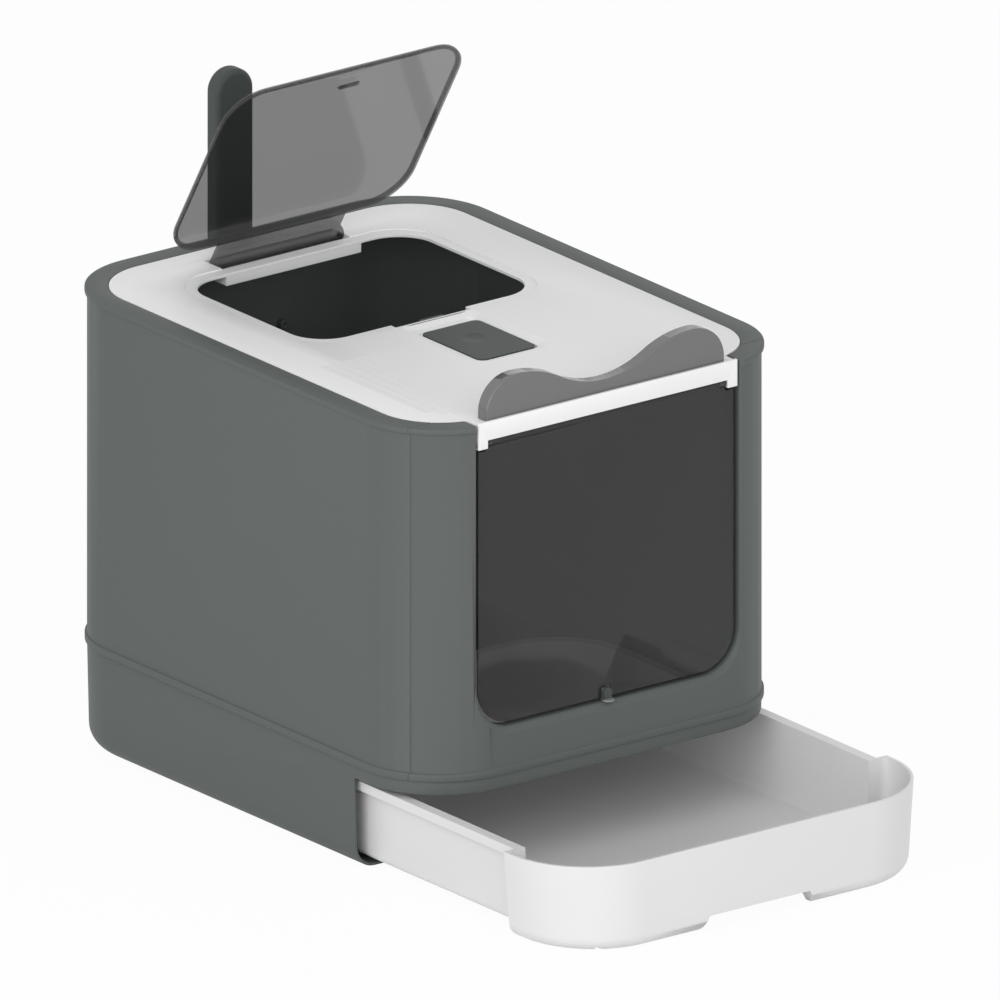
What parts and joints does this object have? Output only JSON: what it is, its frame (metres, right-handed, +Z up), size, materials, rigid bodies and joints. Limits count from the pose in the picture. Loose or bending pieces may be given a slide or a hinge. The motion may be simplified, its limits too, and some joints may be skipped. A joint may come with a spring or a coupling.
{
  "type": "drawer litter box",
  "caption": "Enclosed cat litter box with pull-out litter drawer, swinging see-through front door, hinged top hatch and a scoop in a rear holder.",
  "frame": {"origin": "on the floor, under the middle of the housing", "axes": "+X to the right along the front, the front faces -Y, +Z up"},
  "size_m": [0.402, 0.761, 0.5963],
  "materials": {
    "shell_grey": "fine matt moulded",
    "moulded_white": "satin moulded",
    "smoke_clear": "smoked see-through, polished",
    "dark_grey": "fine matt moulded",
    "steel": "plated"
  },
  "bodies": {
    "housing": {"base_tray": "shell_grey", "front_frame": "shell_grey", "rear_shell": "shell_grey", "shell_screws": "steel", "top_lid": "moulded_white", "ear_crest": "smoke_clear", "crest_screws": "steel", "scoop_holder": "dark_grey", "holder_screws": "steel", "flap_hinge_pin": "steel", "hinge_washers": "dark_grey"},
    "drawer": {"litter_drawer": "moulded_white"},
    "flap": {"top_flap": "smoke_clear"},
    "latch": {"lid_latch": "dark_grey", "latch_bolt": "dark_grey", "latch_screw": "steel"},
    "door": {"front_door": "smoke_clear", "door_pins": "steel"},
    "door_catch": {"door_lock_knob": "dark_grey", "door_lock_cam": "dark_grey"},
    "scoop": {"litter_scoop": "dark_grey"}
  },
  "joints": [
    {"name": "drawer_slide", "type": "slide", "parent": "housing", "child": "drawer", "axis": [0, -1, 0], "range_m": [-0.208, 0.12]},
    {"name": "flap_hinge", "type": "hinge", "parent": "housing", "child": "flap", "pos_m": [0, 0.2055, 0.4024], "axis": [-1, 0, 0], "range_deg": [-60, 38]},
    {"name": "door_swing", "type": "hinge", "parent": "housing", "child": "door", "pos_m": [0, -0.2502, 0.3883], "axis": [1, 0, 0], "range_deg": [-80, 80]},
    {"name": "latch_slide", "type": "slide", "parent": "housing", "child": "latch", "axis": [0, 1, 0], "range_m": [0, 0.009]},
    {"name": "catch_turn", "type": "hinge", "parent": "housing", "child": "door_catch", "pos_m": [0, -0.2502, 0.1415], "axis": [0, 1, 0], "range_deg": [0, 90]},
    {"name": "scoop_lift", "type": "slide", "parent": "housing", "child": "scoop", "axis": [0, 0, 1], "range_m": [0, 0.13]}
  ]
}
